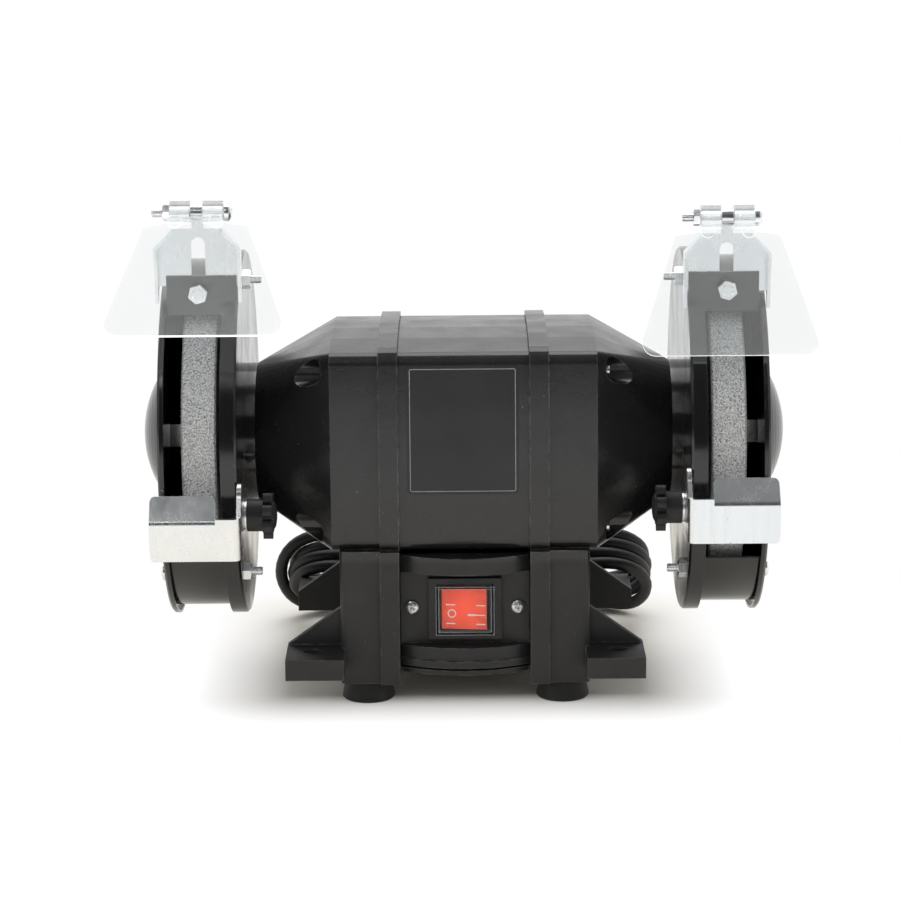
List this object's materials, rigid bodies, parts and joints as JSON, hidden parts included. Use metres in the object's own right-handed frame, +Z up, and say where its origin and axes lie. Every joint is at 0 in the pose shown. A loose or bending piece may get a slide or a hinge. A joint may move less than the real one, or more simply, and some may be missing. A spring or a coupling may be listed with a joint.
{
  "type": "bench grinder",
  "caption": "Double-ended bench grinder with clear eye shields, sheet-metal tool rests, a rocker switch and a tied mains lead.",
  "frame": {"origin": "on the bench, under the middle of the machine, 6.6 mm in front of the motor shaft", "axes": "+X along the motor shaft to the right as seen from the front, +Y to the back, +Z up; the switch faces -Y"},
  "size_m": [0.323, 0.2546, 0.2385],
  "materials": {
    "textured_paint": "fine textured black paint",
    "guard_paint": "glossy black paint",
    "black_rubber": "matt black",
    "black_plastic": "matt black",
    "red_rocker": "glossy red",
    "clear_plastic": "clear, slightly hazy",
    "grinding_stone": "rough abrasive grain",
    "blotter_paper": "plain card",
    "winding_copper": "enamelled copper wire",
    "capacitor_case": "off-white",
    "bare_steel": "ground and bare",
    "zinc_plate": "bright zinc plating"
  },
  "bodies": {
    "machine": {"left_housing": "textured_paint", "right_housing": "textured_paint", "motor_shell": "textured_paint", "switch_panel": "textured_paint", "rear_panel": "textured_paint", "base_plate": "textured_paint", "rubber_feet": "black_rubber", "foot_screws": "zinc_plate", "tie_bolts": "zinc_plate", "tie_nuts": "zinc_plate", "stator_core": "bare_steel", "stator_windings": "winding_copper", "capacitor": "capacitor_case", "bearing_outer_rings": "bare_steel", "switch_frame": "black_plastic", "splash_cover": "clear_plastic", "panel_screws": "zinc_plate", "left_guard": "guard_paint", "right_guard": "guard_paint", "left_cover": "guard_paint", "right_cover": "guard_paint", "guard_screws": "zinc_plate", "guard_nuts": "zinc_plate", "guard_seat_screws": "zinc_plate", "flange_bolts": "zinc_plate", "flange_nuts": "zinc_plate", "left_rest_bolt": "zinc_plate", "right_rest_bolt": "zinc_plate", "cord_gland": "black_rubber", "power_cord": "black_rubber", "cord_hank": "black_rubber", "cord_tie": "black_plastic", "mains_plug": "black_rubber"},
    "rotor": {"rotor_shaft": "bare_steel", "rotor_core": "bare_steel", "bearing_inner_rings": "bare_steel", "bearing_balls": "bare_steel", "left_wheel": "grinding_stone", "right_wheel": "grinding_stone", "wheel_blotters": "blotter_paper", "inner_flanges": "zinc_plate", "outer_flanges": "zinc_plate", "spindle_nuts": "zinc_plate"},
    "rocker": {"rocker": "red_rocker"},
    "left_bracket": {"left_bracket": "zinc_plate", "left_hinge_bolt": "zinc_plate"},
    "left_shield": {"left_eye_shield": "clear_plastic"},
    "left_washer": {"left_rest_washer": "zinc_plate"},
    "left_tool_rest": {"left_tool_rest": "zinc_plate"},
    "left_knob": {"left_knob": "black_rubber"},
    "right_bracket": {"right_bracket": "zinc_plate", "right_hinge_bolt": "zinc_plate"},
    "right_shield": {"right_eye_shield": "clear_plastic"},
    "right_washer": {"right_rest_washer": "zinc_plate"},
    "right_tool_rest": {"right_tool_rest": "zinc_plate"},
    "right_knob": {"right_knob": "black_rubber"}
  },
  "joints": [
    {"name": "rotor_spin", "type": "hinge", "parent": "machine", "child": "rotor", "pos_m": [0, 0.00613, 0.12], "axis": [1, 0, 0], "continuous": true},
    {"name": "rocker_press", "type": "hinge", "parent": "machine", "child": "rocker", "pos_m": [0, -0.04437, 0.0452], "axis": [0, 0, 1], "range_deg": [0, 14]},
    {"name": "left_bracket_slide", "type": "slide", "parent": "machine", "child": "left_bracket", "axis": [0, 0, 1], "range_m": [-0.0042, 0]},
    {"name": "left_shield_tilt", "type": "hinge", "parent": "left_bracket", "child": "left_shield", "pos_m": [-0.1215, -0.04437, 0.233], "axis": [-1, 0, 0], "range_deg": [-18, 44]},
    {"name": "left_rest_tilt", "type": "hinge", "parent": "machine", "child": "left_washer", "pos_m": [-0.1035, -0.06387, 0.095], "axis": [1, 0, 0], "range_deg": [-8, 22]},
    {"name": "left_rest_slide", "type": "slide", "parent": "left_washer", "child": "left_tool_rest", "axis": [0, -0.9848, -0.1736], "range_m": [0, 0.008]},
    {"name": "left_knob_turn", "type": "hinge", "parent": "machine", "child": "left_knob", "pos_m": [-0.1035, -0.06387, 0.095], "axis": [-1, 0, 0], "continuous": true},
    {"name": "right_bracket_slide", "type": "slide", "parent": "machine", "child": "right_bracket", "axis": [0, 0, 1], "range_m": [0, 0.0042]},
    {"name": "right_shield_tilt", "type": "hinge", "parent": "right_bracket", "child": "right_shield", "pos_m": [0.1215, -0.04437, 0.2288], "axis": [-1, 0, 0], "range_deg": [-2, 60]},
    {"name": "right_rest_tilt", "type": "hinge", "parent": "machine", "child": "right_washer", "pos_m": [0.1035, -0.06387, 0.0973], "axis": [1, 0, 0], "range_deg": [0, 30]},
    {"name": "right_rest_slide", "type": "slide", "parent": "right_washer", "child": "right_tool_rest", "axis": [0, -1, 0], "range_m": [0, 0.008]},
    {"name": "right_knob_turn", "type": "hinge", "parent": "machine", "child": "right_knob", "pos_m": [0.1035, -0.06387, 0.0973], "axis": [1, 0, 0], "continuous": true}
  ]
}
